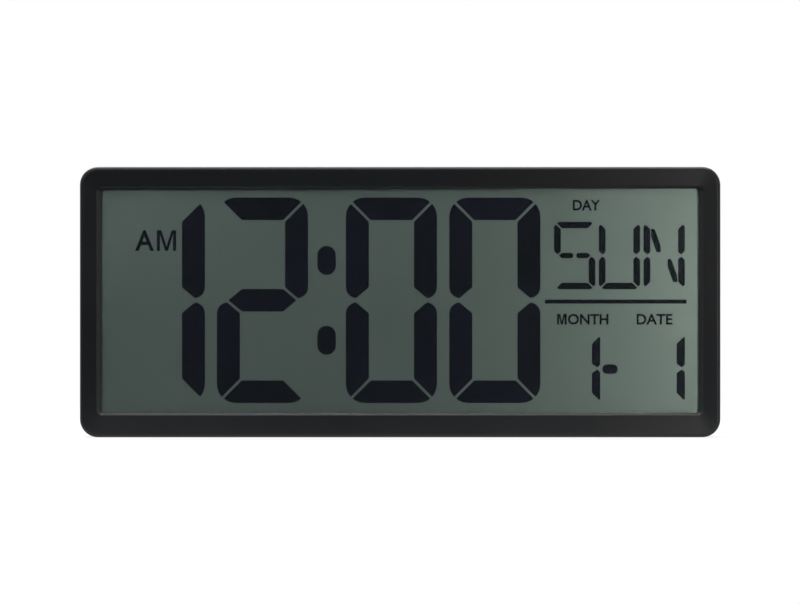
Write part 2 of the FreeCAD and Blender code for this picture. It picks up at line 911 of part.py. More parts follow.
def key(x):
    """Key cap with a dished top, a flange behind the panel and a stem down to its switch."""
    half_x = key_width / 2
    half_z = key_height / 2
    y_top = y_rear - key_sunk
    cap = centred(x, key_z, key_width, key_height, key_corner, y_key_flange, y_top)
    cap = cap.makeFillet(key_edge_round, edges_at_depth(cap, y_top))
    flange = centred(x, key_z, key_width + 2 * key_flange, key_height + 2 * key_flange, key_corner,
                     y_key_flange, y_key_flange + key_flange_thickness)
    stem = rod(stem_radius, V(x, y_plunger_top, key_z), V(x, y_key_flange, key_z))
    dish_radius = (half_x ** 2 + key_dish ** 2) / (2 * key_dish)
    y_centre = y_top - key_dish + dish_radius
    dish = rod(dish_radius, V(x, y_centre, key_z - half_z), V(x, y_centre, key_z + half_z))
    rim = key_edge_round + key_dish_rim
    reach = box(x - half_x + rim, x + half_x - rim, y_top - overrun, y_top + overrun, key_z - half_z,
                key_z + half_z)
    return join([cap, flange, stem]).cut(dish.common(reach))


# ---------------------------------------------------------------- battery bay

def battery_cell(z, side):
    """AA cell along X with its positive end towards one side (1 right)."""
    body_length = cell_length - nub_length
    negative = -side * (bay_half_x - contact_thickness - spring_length)
    shoulder = negative + side * body_length
    tip = negative + side * cell_length
    can = rod(cell_radius, V(negative, y_cell_axis, z), V(shoulder, y_cell_axis, z))
    rims = [edge for edge in can.Edges if abs(edge.BoundBox.XLength) < 1e-4]
    can = can.makeFillet(cell_end_round, rims)
    nub = rod(nub_radius, V(shoulder, y_cell_axis, z), V(tip, y_cell_axis, z))
    return join([can, nub])


def contact_plate(z, side):
    """Square contact plate against one end wall of the bay."""
    outer = side * bay_half_x
    inner = outer - side * contact_thickness
    x0, x1 = sorted((outer, inner))
    half = contact_side / 2
    return box(x0, x1, y_cell_axis - half, y_cell_axis + half, z - half, z + half)


def contact_tail(z, side):
    """Solder tail that leads from a contact plate through the end wall."""
    start = side * (bay_half_x - contact_thickness / 2)
    end = side * (bay_half_x + bay_wall + contact_tail_reach)
    x0, x1 = sorted((start, end))
    y0 = y_cell_axis - contact_tail_z
    half = contact_tail_width / 2
    return box(x0, x1, y0, y0 + contact_thickness, z - half, z + half)


def dimple(z, side):
    """Raised button that meets a cell's positive nub."""
    base = side * (bay_half_x - contact_thickness)
    return rod(dimple_radius, V(base, y_cell_axis, z), V(base - side * dimple_height, y_cell_axis, z))


def coil_spring(z, side):
    """Conical spring that meets a cell's flat negative end."""
    base = side * (bay_half_x - contact_thickness)
    rise = spring_length - spring_wire
    steps = spring_steps * spring_turns
    places = []
    for i in range(steps + 1):
        angle = 2 * math.pi * i / spring_steps
        radius = spring_base_radius + (spring_tip_radius - spring_base_radius) * i / steps
        places.append(V(base - side * rise * i / steps, y_cell_axis + radius * math.cos(angle),
                        z + radius * math.sin(angle)))
    path = Part.Wire(Part.makePolygon(places))
    corners = [V(spring_wire, 0, 0), V(0, spring_wire, 0), V(-spring_wire, 0, 0), V(0, -spring_wire, 0)]
    section = [places[0] + corner for corner in corners + corners[:1]]
    return path.makePipeShell([Part.Wire(Part.makePolygon(section))], True, False, 1)


def positive_contact():
    """Contact under the upper cell's nub, with the tail for the red lead."""
    return join([contact_plate(upper_cell_z, 1), dimple(upper_cell_z, 1), contact_tail(upper_cell_z, 1)])


def negative_contact():
    """Sprung contact under the lower cell's flat end, with the tail for the black lead."""
    return join([contact_plate(lower_cell_z, 1), coil_spring(lower_cell_z, 1), contact_tail(lower_cell_z, 1)])


def bridge_contact():
    """Double contact that joins the two cells at the left end."""
    link = box(-bay_half_x, -bay_half_x + contact_thickness, y_cell_axis - contact_side / 2,
               y_cell_axis + contact_side / 2, lower_cell_z, upper_cell_z)
    return join([contact_plate(upper_cell_z, -1), contact_plate(lower_cell_z, -1), link,
                 coil_spring(upper_cell_z, -1), dimple(lower_cell_z, -1)])


def rounded_path(places):
    """Straight runs joined by tangent arcs, each as large as its two runs allow."""
    edges = []
    radii = []
    at = places[0]
    for before, corner, after in zip(places, places[1:], places[2:]):
        into = corner - before
        out = after - corner
        turn = into.getAngle(out)
        setback = lead_bend_share * min(into.Length, out.Length)
        radius = setback / math.tan(turn / 2)
        radii.append(radius)
        into.normalize()
        out.normalize()
        start = corner - into * setback
        end = corner + out * setback
        inward = (out - into).normalize()
        centre = corner + inward * (radius / math.cos(turn / 2))
        edges.append(Part.LineSegment(at, start).toShape())
        edges.append(Part.Arc(start, centre - inward * radius, end).toShape())
        at = end
    edges.append(Part.LineSegment(at, places[-1]).toShape())
    return Part.Wire(edges), radii


def lead(colour, places):
    """Thin insulated wire along a route of chosen points."""
    path, radii = rounded_path(places)
    section = Part.Wire(Part.makeCircle(lead_radius, places[0], places[1] - places[0]))
    wire = path.makePipeShell([section], True, False, 0)
    expected = math.pi * lead_radius ** 2 * path.Length
    print(colour, "lead: length %.1f mm, radii %s, volume ratio %.4f"
          % (path.Length, " ".join("%.1f" % r for r in radii), wire.Volume / expected))
    return wire


def lead_route(z, bulge):
    """Route from one contact's tail up to the board; bulge keeps the two leads apart."""
    x0 = bay_half_x + bay_wall + contact_tail_reach
    y0 = y_cell_axis - contact_tail_z + contact_thickness / 2
    end_x = x0 + 4.0 + bulge
    end_z = board_low + 6.0
    rise = end_z - z
    return [V(x0, y0, z), V(x0 + 4.5 + bulge, y0, z), V(x0 + 8.5 + bulge, y0, z + 5.5),
            V(x0 + 9.5 + bulge, y0, z + rise * 0.45), V(x0 + 8.0 + bulge, y0, z + rise * 0.75),
            V(end_x + 0.6, y0 + 0.3, end_z - 3.2), V(end_x, y_board_back + 1.9, end_z),
            V(end_x, y_board_back, end_z)]


def battery_door():
    """Lid over the cells, with two tabs below and a springy latch tongue above."""
    body = slab(-door_half_x, door_half_x, door_low, door_high, door_corner, y_door, y_door_face)
    y_tab = y_cover_inner - door_tab_gap - door_tab_thickness
    tabs = []
    for side in SIDES:
        x0 = side * door_tab_x - door_tab_width / 2
        x1 = x0 + door_tab_width
        tabs.append(box(x0, x1, y_tab, y_tab + door_tab_thickness, door_low - door_tab_reach,
                        door_low + door_tab_thickness))
        tabs.append(box(x0, x1, y_tab, y_door, door_low, door_low + door_tab_thickness))
    body = join([body] + tabs)
    slits = []
    for side in SIDES:
        x0 = side * (latch_width / 2) - latch_slit / 2
        slits.append(box(x0, x0 + latch_slit, y_door, y_door_face, door_high - latch_length,
                         door_high))
    y_grip = y_door_face + grip_height / 2 - grip_depth
    z_grip = door_high - latch_length - grip_below_latch
    grip = rod(grip_height / 2, V(-grip_width / 2, y_grip, z_grip), V(grip_width / 2, y_grip, z_grip))
    return body.cut(slits + [grip])


# ---------------------------------------------------------------- rear cover

def cover_envelope():
    """All the room that the cover may fill: its outer form and the part inside the housing."""
    outer = case_slab(0, y_part, y_rear)
    outer = outer.makeFillet(cover_edge_round, edges_at_depth(outer, y_rear))
    groove = case_slab(0, y_part, y_part + parting_groove)
    groove = groove.cut(case_slab(parting_groove, y_part, y_part + parting_groove))
    inner = case_slab(housing_wall + lip_clearance, y_cover_front, y_part)
    return outer.cut(groove).fuse(inner)


def cover_cavity():
    """Hollow of the cover, narrower at the root of its lip."""
    root = housing_wall + lip_clearance + lip_wall
    near = case_slab(root, y_cover_front, y_part + lip_root)
    far = case_slab(cover_wall, y_part + lip_root, y_cover_inner)
    trim = case_slab(housing_wall, y_cover_front, y_part - lip_depth)
    return near.fuse(far).fuse(trim)


def cover_hooks():
    """Hooks that carry the lip on and snap into the housing's top wall."""
    ceiling = case_height - housing_wall - lip_clearance
    y_end = y_part - lip_depth - hook_reach
    parts = []
    for side in SIDES:
        x0 = side * hook_x - hook_width / 2
        x1 = x0 + hook_width
        parts.append(box(x0, x1, y_end, y_part + lip_root, ceiling - lip_wall, ceiling))
        y_barb = y_end + hook_barb_length
        ramp = [(y_end, ceiling), (y_barb, ceiling + lip_clearance + hook_barb), (y_barb, ceiling)]
        parts.append(side_profile(ramp, side * hook_x, hook_width))
    return parts


def foot_recess_block(side):
    """Walls round one folded foot, with thick cheeks for its trunnions."""
    x = side * foot_x
    half = recess_half + recess_wall
    walls = slab(x - half, x + half, 0, recess_top + recess_wall, 0, y_recess_floor - recess_wall, y_rear,
                 foot_corner + foot_side_gap + recess_wall)
    heel_high = heel_pocket_top + recess_wall
    heel = box(x - half, x + half, y_heel_pocket - recess_wall, y_rear, 0, heel_high)
    cheeks = box(x - recess_half - cheek_wall, x + recess_half + cheek_wall, y_heel_pocket - recess_wall,
                 y_rear, 0, foot_axis + cheek_wall)
    return join([walls, heel, cheeks])


def foot_recess_cut(side):
    """Room for one folded foot, its swinging heel and its trunnions."""
    x = side * foot_x
    room = slab(x - recess_half, x + recess_half, -overrun, recess_top, 0, y_recess_floor, y_rear + overrun,
                foot_corner + foot_side_gap)
    heel = box(x - recess_half, x + recess_half, y_heel_pocket, y_rear + overrun, -overrun, heel_pocket_top)
    reach = recess_half + trunnion_length
    bore = rod(trunnion_radius + trunnion_clearance, V(x - reach, y_foot_axis, foot_axis),
               V(x + reach, y_foot_axis, foot_axis))
    nose = box(x - stop_nose_width / 2, x + stop_nose_width / 2, y_recess_floor,
               y_recess_floor + stop_nose_reach, heel_pocket_top, heel_pocket_top + stop_nose_height)
    return join([room, heel]).cut(nose).fuse(bore)


def keyhole_block(side):
    """Closed pocket that keeps the wall screw's head off the electronics."""
    x = side * keyhole_spacing / 2
    half = keyhole_pocket_width / 2 + keyhole_pocket_wall
    low = keyhole_z - keyhole_entry - keyhole_pocket_spare - keyhole_pocket_wall
    high = keyhole_z + keyhole_rise + keyhole_entry + keyhole_pocket_wall
    y0 = y_cover_inner - keyhole_pocket_depth - keyhole_pocket_wall
    return slab(x - half, x + half, low, high, keyhole_pocket_corner + keyhole_pocket_wall, y0,
                y_cover_inner + weld)


def keyhole_cut(side):
    """The pocket's hollow and the keyhole through the cover's wall."""
    x = side * keyhole_spacing / 2
    half = keyhole_pocket_width / 2
    low = keyhole_z - keyhole_entry - keyhole_pocket_spare
    high = keyhole_z + keyhole_rise + keyhole_entry
    hollow = slab(x - half, x + half, low, high, keyhole_pocket_corner, y_cover_inner - keyhole_pocket_depth,
                  y_cover_inner)
    entry = rod(keyhole_entry, V(x, y_cover_inner, keyhole_z), V(x, y_rear + overrun, keyhole_z))
    end = rod(keyhole_slot, V(x, y_cover_inner, keyhole_z + keyhole_rise),
              V(x, y_rear + overrun, keyhole_z + keyhole_rise))
    slot = box(x - keyhole_slot, x + keyhole_slot, y_cover_inner, y_rear + overrun, keyhole_z,
               keyhole_z + keyhole_rise)
    return join([hollow, entry, end, slot])


def bay_block():
    """Walls and floor of the battery bay and the rim that the door rests on."""
    outer_x = bay_half_x + bay_wall
    outer_z = bay_half_z + bay_wall
    tray = slab(-outer_x, outer_x, bay_centre_z - outer_z, bay_centre_z + outer_z, bay_corner,
                y_bay_floor - bay_wall, y_rear)
    grow = door_clearance + bay_wall
    rim = slab(-door_half_x - grow, door_half_x + grow, door_low - grow - door_tab_reach, door_high + grow,
               door_corner + grow, y_door - door_seat, y_rear)
    return join([tray, rim])


def bay_cut():
    """Hollow of the battery bay, the door's pocket, its tab slots and the contacts' slots."""
    bay = centred(0, bay_centre_z, 2 * bay_half_x, 2 * bay_half_z, 0, y_bay_floor, y_rear)
    gap = door_clearance
    pocket = slab(-door_half_x - gap, door_half_x + gap, door_low - gap, door_high + gap, door_corner + gap,
                  y_door, y_rear + overrun)
    cuts = [bay, pocket]
    tab_inner = cover_wall - door_sunk + door_tab_gap + door_tab_thickness
    sweep = math.hypot(door_tab_reach, tab_inner) + door_tab_gap
    for side in SIDES:
        x0 = side * door_tab_x - door_tab_width / 2 - door_tab_gap
        x1 = x0 + door_tab_width + 2 * door_tab_gap
        cuts.append(box(x0, x1, y_door_face - sweep, y_cover_inner,
                        door_low - door_tab_reach - 3 * door_tab_gap, door_low + sweep))
        cuts.append(box(x0, x1, y_cover_inner, y_rear, door_low - door_clearance, door_low + sweep))
    for z in (upper_cell_z, lower_cell_z):
        half = contact_tail_width / 2 + tail_slot_side
        y0 = y_cell_axis - contact_tail_z
        cuts.append(box(bay_half_x - weld, bay_half_x + bay_wall + overrun, y0 - tail_slot_face,
                        y0 + contact_thickness + tail_slot_face, z - half, z + half))
    return cuts


def key_panel_block():
    """Wall behind the sunk panel that the keys stand in."""
    half_x = key_span / 2 + key_width / 2 + panel_margin + cover_wall
    half_z = key_height / 2 + panel_margin + cover_wall
    return centred(0, key_z, 2 * half_x, 2 * half_z, panel_corner + cover_wall, y_panel_inner, y_rear)


def key_panel_cut():
    """The sunk panel and the four key windows."""
    half_x = key_span / 2 + key_width / 2 + panel_margin
    half_z = key_height / 2 + panel_margin
    cuts = [centred(0, key_z, 2 * half_x, 2 * half_z, panel_corner, y_panel_face, y_rear + overrun)]
    window_width = key_width + 2 * key_clearance
    window_height = key_height + 2 * key_clearance
    for x in key_xs:
        cuts.append(centred(x, key_z, window_width, window_height, key_corner + key_clearance,
                            y_panel_inner, y_rear))
    return cuts


def cover_ribs():
    """Upright ribs inside the cover that keep its back flat."""
    y0 = y_cover_inner - cover_rib_height
    height = case_height - 2 * cover_wall
    return [centred(x, case_height / 2, cover_rib_wall, height, 0, y0, y_cover_inner)
            for x in cover_rib_places]


def rear_cover():
    """Moulded back: posts, hooks, battery bay, key panel, foot recesses and keyhole pockets."""
    envelope = cover_envelope()
    posts = [rod(post_radius, V(x, y_boss, z), V(x, y_cover_inner, z)) for x, z in case_screws]
    added = posts + cover_ribs() + [bay_block(), key_panel_block()]
    for side in SIDES:
        added += [foot_recess_block(side), keyhole_block(side)]
    inside = join([envelope.cut(cover_cavity())] + [shape.common(envelope) for shape in added])
    body = join([inside] + cover_hooks())
    cuts = bay_cut() + key_panel_cut()
    for side in SIDES:
        cuts += [foot_recess_cut(side), keyhole_cut(side)]
    for x, z in case_screws:
        cuts.append(rod(case_screw_shank + pilot_clearance, V(x, y_boss, z), V(x, y_rear, z)))
        cuts.append(rod(case_screw_head + head_clearance, V(x, y_boss + post_floor, z),
                        V(x, y_rear + overrun, z)))
    return body.cut(cuts)


def case_fasteners():
    """Six screws that draw the cover's posts onto the housing's bosses."""
    return Part.makeCompound([
        pan_screw(x, z, y_boss + post_floor, case_screw_length, case_screw_shank, case_screw_head)
        for x, z in case_screws])


# ---------------------------------------------------------------- folding feet

def stand_foot(side):
    """Foot folded up into its recess: skin, flanges, round-backed heel, trunnions and stop notch."""
    x = side * foot_x
    half = foot_width / 2
    y_outer = y_foot_axis + foot_heel
    y_inner = y_foot_axis - foot_inner
    leaf = slab(x - half, x + half, foot_axis, foot_tip_z, 0, y_inner, y_outer, foot_corner)
    inner_half = half - foot_flange
    low = foot_axis + foot_hub
    high = foot_tip_z - foot_flange
    y_skin = y_outer - foot_skin
    hollow = slab(x - inner_half, x + inner_half, low, high, 0, y_inner, y_skin, foot_corner - foot_flange)
    rib = box(x - foot_flange / 2, x + foot_flange / 2, y_inner, y_skin, low, high)
    heel = box(x - half, x + half, y_inner, y_foot_axis, foot_axis - foot_heel, foot_axis)
    barrel = rod(foot_heel, V(x - half, y_foot_axis, foot_axis), V(x + half, y_foot_axis, foot_axis))
    barrel = barrel.common(box(x - half, x + half, y_foot_axis, y_outer, foot_axis - foot_heel, foot_axis))
    pins = rod(trunnion_radius, V(x - half - trunnion_length, y_foot_axis, foot_axis),
               V(x + half + trunnion_length, y_foot_axis, foot_axis))
    body = join([leaf.cut(hollow), rib, heel, barrel, pins])
    notch_half = stop_nose_width / 2 + stop_nose_gap
    y_notch = y_recess_floor + stop_nose_reach + stop_nose_gap
    notch = box(x - notch_half, x + notch_half, y_inner - overrun, y_notch, foot_axis + stop_notch_start,
                foot_axis + stop_notch_height)
    return body.cut([notch, foot_pad_shape(side)])


def foot_pad_shape(side):
    """Rubber pad let into the outer face near the foot's tip."""
    x = side * foot_x
    y_outer = y_foot_axis + foot_heel + pad_proud
    z = foot_tip_z - pad_from_tip - pad_length / 2
    return centred(x, z, pad_width, pad_length, pad_corner, y_outer - pad_depth, y_outer)


# ---------------------------------------------------------------- write every node

def all_parts():
    """Every node's name and shape."""
    parts = {
        "front_housing": front_housing(),
        "display_window": display_window(),
        "window_tape": window_tape(),
        "lcd_front_polariser": front_polariser(),
        "lcd_front_glass": front_glass(),
        "lcd_cell_seal": cell_seal(),
        "lcd_time_segments": time_segments(),
        "lcd_calendar_segments": calendar_segments(),
        "lcd_rear_glass": rear_glass(),
        "lcd_reflector": reflector(),
        "lcd_cushion": cushion(),
        "lcd_retainer": retainer(),
        "retainer_screws": retainer_fasteners(),
        "zebra_connector": zebra_connector(),
        "main_board": main_board(),
        "board_screws": board_fasteners(),
        "display_driver": driver_blob(),
        "quartz_crystal": quartz_crystal(),
        "chip_components": chip_components(),
        "switch_bodies": switch_bodies(),
        "battery_cell_upper": battery_cell(upper_cell_z, 1),
        "battery_cell_lower": battery_cell(lower_cell_z, -1),
        "battery_positive_contact": positive_contact(),
        "battery_negative_contact": negative_contact(),
        "battery_bridge_contact": bridge_contact(),
        "power_lead_red": lead("red", lead_route(upper_cell_z, 0.0)),
        "power_lead_black": lead("black", lead_route(lower_cell_z, 3.0)),
        "battery_door": battery_door(),
        "rear_cover": rear_cover(),
        "case_screws": case_fasteners(),
    }
    for name, x in zip(key_names, key_xs):
        parts[name + "_key"] = key(x)
        parts[name + "_switch_plunger"] = switch_plunger(x)
    for name, side in (("left", -1), ("right", 1)):
        parts[name + "_stand_foot"] = stand_foot(side)
        parts[name + "_foot_pad"] = foot_pad_shape(side)
    return parts


os.makedirs("parts", exist_ok=True)
for node, shape in all_parts().items():
    shape.exportStep("parts/" + node + ".step")
    state = "valid" if shape.isValid() else "NOT VALID"
    print(node, len(shape.Solids), "solids", state, "%.1f mm3" % shape.Volume)
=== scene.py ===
import math

import bmesh
import bpy
from mathutils import Matrix, Vector


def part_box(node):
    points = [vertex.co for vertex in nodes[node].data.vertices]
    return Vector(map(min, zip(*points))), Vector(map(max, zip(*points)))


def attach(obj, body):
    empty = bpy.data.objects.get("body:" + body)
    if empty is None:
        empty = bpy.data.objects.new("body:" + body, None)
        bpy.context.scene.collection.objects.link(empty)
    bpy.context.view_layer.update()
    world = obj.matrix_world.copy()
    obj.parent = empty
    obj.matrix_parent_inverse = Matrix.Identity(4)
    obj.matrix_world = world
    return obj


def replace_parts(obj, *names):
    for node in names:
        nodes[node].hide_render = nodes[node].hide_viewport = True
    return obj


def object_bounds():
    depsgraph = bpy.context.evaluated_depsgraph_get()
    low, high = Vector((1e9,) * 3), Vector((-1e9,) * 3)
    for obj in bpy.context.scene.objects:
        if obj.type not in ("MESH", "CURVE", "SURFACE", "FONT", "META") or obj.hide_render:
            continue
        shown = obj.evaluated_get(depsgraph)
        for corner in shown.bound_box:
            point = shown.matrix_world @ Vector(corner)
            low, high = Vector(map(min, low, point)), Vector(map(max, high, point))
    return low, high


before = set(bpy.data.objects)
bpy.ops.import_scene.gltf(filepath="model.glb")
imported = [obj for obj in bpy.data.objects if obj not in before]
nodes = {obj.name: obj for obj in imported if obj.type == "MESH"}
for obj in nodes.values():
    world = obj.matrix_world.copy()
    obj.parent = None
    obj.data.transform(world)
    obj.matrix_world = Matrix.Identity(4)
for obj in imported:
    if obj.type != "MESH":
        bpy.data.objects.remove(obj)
cad_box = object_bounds()
scene = bpy.context.scene
scene.view_settings.view_transform = "Standard"

# ---------------------------------------------------------------- camera
# A long lens looks square at the display's middle from three metres, so the four bars of the
# bezel show evenly and the case's sides hide behind its front.

view_distance = 3.0
view_width = 0.4569
view_middle = 0.0773
view_side = -0.0001

camera = bpy.data.objects.new("camera", bpy.data.cameras.new("camera"))
scene.collection.objects.link(camera)
scene.camera = camera
camera.data.sensor_width = 36.0
camera.data.lens = camera.data.sensor_width * view_distance / view_width
camera.location = (view_side, cad_box[0].y - view_distance, view_middle)
camera.rotation_euler = (math.pi / 2, 0, 0)
camera.data.clip_start = 0.1
camera.data.clip_end = 60.0

# ---------------------------------------------------------------- studio
# White paper below and white on both sides, but dark card in front and nothing bright behind the
# camera, so the flat display stays dark. It brightens towards a small tall lamp near its right end
# and another lamp at its upper left. A lamp straight above lights the bezel's lower lip.


def lamp(name, place, aim, width, height, watts, colour=(1, 1, 1)):
    """A soft rectangular lamp that points at aim."""
    light = bpy.data.objects.new(name, bpy.data.lights.new(name, "AREA"))
    scene.collection.objects.link(light)
    light.data.shape = "RECTANGLE"
    light.data.size = width
    light.data.size_y = height
    light.data.energy = watts
    light.data.color = colour
    light.location = place
    light.rotation_euler = (Vector(aim) - Vector(place)).to_track_quat("-Z", "Y").to_euler()
    light.visible_camera = False


lamp("lamp_above", (0, 0.9, 2.4), (0, 0.1, 0), 2.6, 1.5, 60)
lamp("lamp_top", (0, -0.12, 1.3), (0, 0, 0.1), 1.2, 0.30, 4.4)
lamp("lamp_right", (0.30, -0.50, 0.04), (0.14, 0, 0.05), 0.12, 0.30, 0.70, (1.0, 0.95, 0.89))
lamp("lamp_front", (0.1, -1.5, 1.9), (0, 0, 0.07), 1.0, 0.5, 11)
lamp("lamp_upper_left", (-0.38, -1.00, 0.43), (-0.14, 0, 0.11), 0.30, 0.20, 0.97)
lamp("lamp_behind", (-1.4, 2.0, 2.6), (0, 0, 0.07), 2.0, 1.6, 50)
lamp("lamp_behind_right", (1.9, 1.6, 0.9), (0, 0, 0.07), 0.8, 1.2, 16)


class Wire:
    """What comes out of a shader node. Arithmetic on it adds Math nodes."""

    def __init__(self, finish, socket):
        self.finish = finish
        self.socket = socket

    def maths(self, operation, *values):
        return self.finish.node("Math", {"operation": operation}, dict(enumerate(values)))

    def __add__(self, other):
        return self.maths("ADD", self, other)

    __radd__ = __add__

    def __sub__(self, other):
        return self.maths("SUBTRACT", self, other)

    def __rsub__(self, other):
        return self.maths("SUBTRACT", other, self)

    def __mul__(self, other):
        return self.maths("MULTIPLY", self, other)

    __rmul__ = __mul__

    def __pow__(self, other):
        return self.maths("POWER", self, other)

    def __gt__(self, other):
        return self.maths("GREATER_THAN", self, other)

    def __lt__(self, other):
        return self.maths("LESS_THAN", self, other)

    def larger(self, other):
        return self.maths("MAXIMUM", self, other)

    def held(self, low, high):
        """Brought to 0 at low and 1 at high, held between them, with soft ends."""
        return self.finish.node("MapRange", {"interpolation_type": "SMOOTHSTEP"},
                                {"Value": self, "From Min": low, "From Max": high})


class Finish:
    """A material or a world built node by node."""

    def __init__(self, name, world=False):
        self.owner = bpy.data.worlds.new(name) if world else bpy.data.materials.new(name)
        self.owner.use_nodes = True
        self.tree = self.owner.node_tree
        self.tree.nodes.clear()
        self.end = self.tree.nodes.new("ShaderNodeOutput" + ("World" if world else "Material"))

    def node(self, kind, settings=None, sockets=None, output=0):
        """Adds a node of one kind, sets it up, fills its sockets and gives the wire from its output."""
        made = self.tree.nodes.new("ShaderNode" + kind)
        for name, value in (settings or {}).items():
            setattr(made, name, value)
        for name, value in (sockets or {}).items():
            socket = made.inputs[name]
            if isinstance(value, Wire):
                self.tree.links.new(value.socket, socket)
            elif hasattr(value, "__len__") and len(value) == 3 and socket.type == "RGBA":
                socket.default_value = (*value, 1)
            else:
                socket.default_value = value
        return Wire(self, made.outputs[output])

    def place(self, stretch=(1, 1, 1)):
        """Object coordinates, stretched along each axis."""
        spot = self.node("TexCoord", output="Object")
        return self.node("Mapping", sockets={"Vector": spot, "Scale": stretch})

    def along(self, axis):
        """One of the object coordinates."""
        return self.node("SeparateXYZ", sockets={0: self.node("TexCoord", output="Object")}, output=axis)

    def noise(self, size, detail=2.0, roughness=0.5, stretch=(1, 1, 1)):
        """Soft random value with features about size metres wide."""
        return self.node("TexNoise", sockets={"Vector": self.place(stretch), "Scale": 1 / size,
                                              "Detail": detail, "Roughness": roughness})

    def stripes(self, axis, spacing):
        """Even soft stripes across one axis, spacing metres apart."""
        radians_per_unit = 20
        return self.node("TexWave", {"bands_direction": axis}, {
            "Vector": self.place(), "Scale": math.tau / radians_per_unit / spacing, "Distortion": 0.0},
            output="Fac")

    def blend(self, share, first, second):
        """Colour between two colours."""
        return self.node("Mix", {"data_type": "RGBA"}, {0: share, 6: first, 7: second}, 2)

    def bump(self, height, depth, **more):
        return self.node("Bump", sockets={"Height": height, "Distance": depth, **more})

    def ray(self, *kinds):
        """1 where the ray is one of these kinds."""
        path = self.node("LightPath").socket.node
        wires = [Wire(self, path.outputs["Is %s Ray" % kind]) for kind in kinds]
        found = wires[0]
        for wire in wires[1:]:
            found = found.larger(wire)
        return found

    def principled(self, **sockets):
        """The usual surface, its sockets named in lower case."""
        names = {"IOR" if name == "ior" else name.replace("_", " ").title(): value
                 for name, value in sockets.items()}
        return self.node("BsdfPrincipled", sockets=names)

    def done(self, surface):
        self.tree.links.new(surface.socket, self.end.inputs["Surface"])
        return self.owner


def as_object(name, shape):
    """An object made of a bmesh, which is used up."""
    mesh = bpy.data.meshes.new(name)
    shape.to_mesh(mesh)
    shape.free()
    made = bpy.data.objects.new(name, mesh)
    scene.collection.objects.link(made)
    return made


daylight = 0.42
dark_end = 0.05
surroundings = Finish("surroundings", world=True)
direction = surroundings.node("TexCoord", output="Generated")
forwards = surroundings.node("SeparateXYZ", sockets={0: direction}, output="Y")
mirrored = dark_end + (1 - dark_end) * (1.0 - forwards.maths("ABSOLUTE", forwards)).held(0.1, 0.7)
straight = surroundings.ray("Camera")
bent = surroundings.ray("Glossy", "Transmission") * (1.0 - straight)
strength = straight + bent * mirrored + (1.0 - straight) * (1.0 - bent) * daylight
scene.world = surroundings.done(surroundings.node("Background", sockets={
    "Color": (1, 1, 1), "Strength": strength}))

paper_half = 9.0
near_glow = 0.78
glow_starts, glow_full = 0.35, 1.3
card_full, card_ends = -0.07, -0.015
paper = Finish("paper")
fibres = paper.noise(0.004, 4)
sheet_white = paper.node("BsdfDiffuse", sockets={
    "Color": paper.blend(fibres, (0.80, 0.80, 0.80), (0.84, 0.84, 0.84))})
glow = paper.node("Emission", sockets={"Color": (1, 1, 1), "Strength": 1.0})
distance = paper.node("VectorMath", {"operation": "LENGTH"}, {0: paper.place()}, "Value")
far = distance.held(glow_starts, glow_full)
share = paper.ray("Camera", "Glossy", "Transmission") * (near_glow + far * (1 - near_glow))
black_card = paper.node("BsdfDiffuse", sockets={"Color": (0.05, 0.05, 0.05)})
carded = (1.0 - paper.ray("Camera")) * (1.0 - paper.along("Y").held(card_full, card_ends))
lit_paper = paper.node("MixShader", sockets={0: share, 1: sheet_white, 2: glow})
floor_shape = bmesh.new()
bmesh.ops.create_grid(floor_shape, x_segments=1, y_segments=1, size=paper_half)
floor = as_object("paper_floor", floor_shape)
floor.data.materials.append(paper.done(paper.node("MixShader", sockets={
    0: carded, 1: lit_paper, 2: black_card})))

# ---------------------------------------------------------------- front housing
# One black ABS moulding: the sloping bezel, the side walls, the bosses and the rib that centres
# the glass. It is moulded in a finely eroded steel tool, so its skin is satin with a faint grain.

worn_edge = 0.0004


def finish_node(name, material):
    """Puts a material on every slot of a CAD node."""
    for slot in nodes[name].material_slots:
        slot.material = material


def moulded_plastic(name, colour, roughness, grain=0.00035, depth=0.000010):
    """Opaque moulded plastic: fine eroded grain, uneven gloss, edges rubbed a little brighter."""
    made = Finish(name)
    broad = made.noise(0.045, 3)
    fine = made.noise(grain, 2, 0.6)
    rounded = made.node("Bevel", {"samples": 4}, {"Radius": worn_edge})
    flat = made.node("NewGeometry", output="Normal")
    along = made.node("VectorMath", {"operation": "DOT_PRODUCT"}, {0: rounded, 1: flat}, "Value")
    worn = (1.0 - along).held(0.01, 0.25) * broad
    dusty = [c * 1.4 + 0.001 for c in colour]
    rubbed = [c * 2.2 + 0.006 for c in colour]
    tone = made.blend(broad * 0.7 + fine * 0.3, colour, dusty)
    return made.done(made.principled(
        base_color=made.blend(worn, tone, rubbed),
        roughness=roughness - 0.05 + broad * 0.07 + fine * 0.05 - worn * 0.08,
        normal=made.bump(fine, depth, Normal=rounded),
        ior=1.40))


case_black = moulded_plastic("case_black", (0.0068, 0.0080, 0.0098), 0.36)
finish_node("front_housing", case_black)

# ---------------------------------------------------------------- window tape and window
# A pane of clear cast acrylic lies on a thin double-sided tape behind the bezel and keeps
# fingers off the display.

tape = Finish("tape_black")
weave = tape.noise(0.0006, 2)
finish_node("window_tape", tape.done(tape.principled(
    base_color=tape.blend(weave, (0.008, 0.008, 0.008), (0.014, 0.014, 0.014)),
    roughness=0.55 + weave * 0.2)))


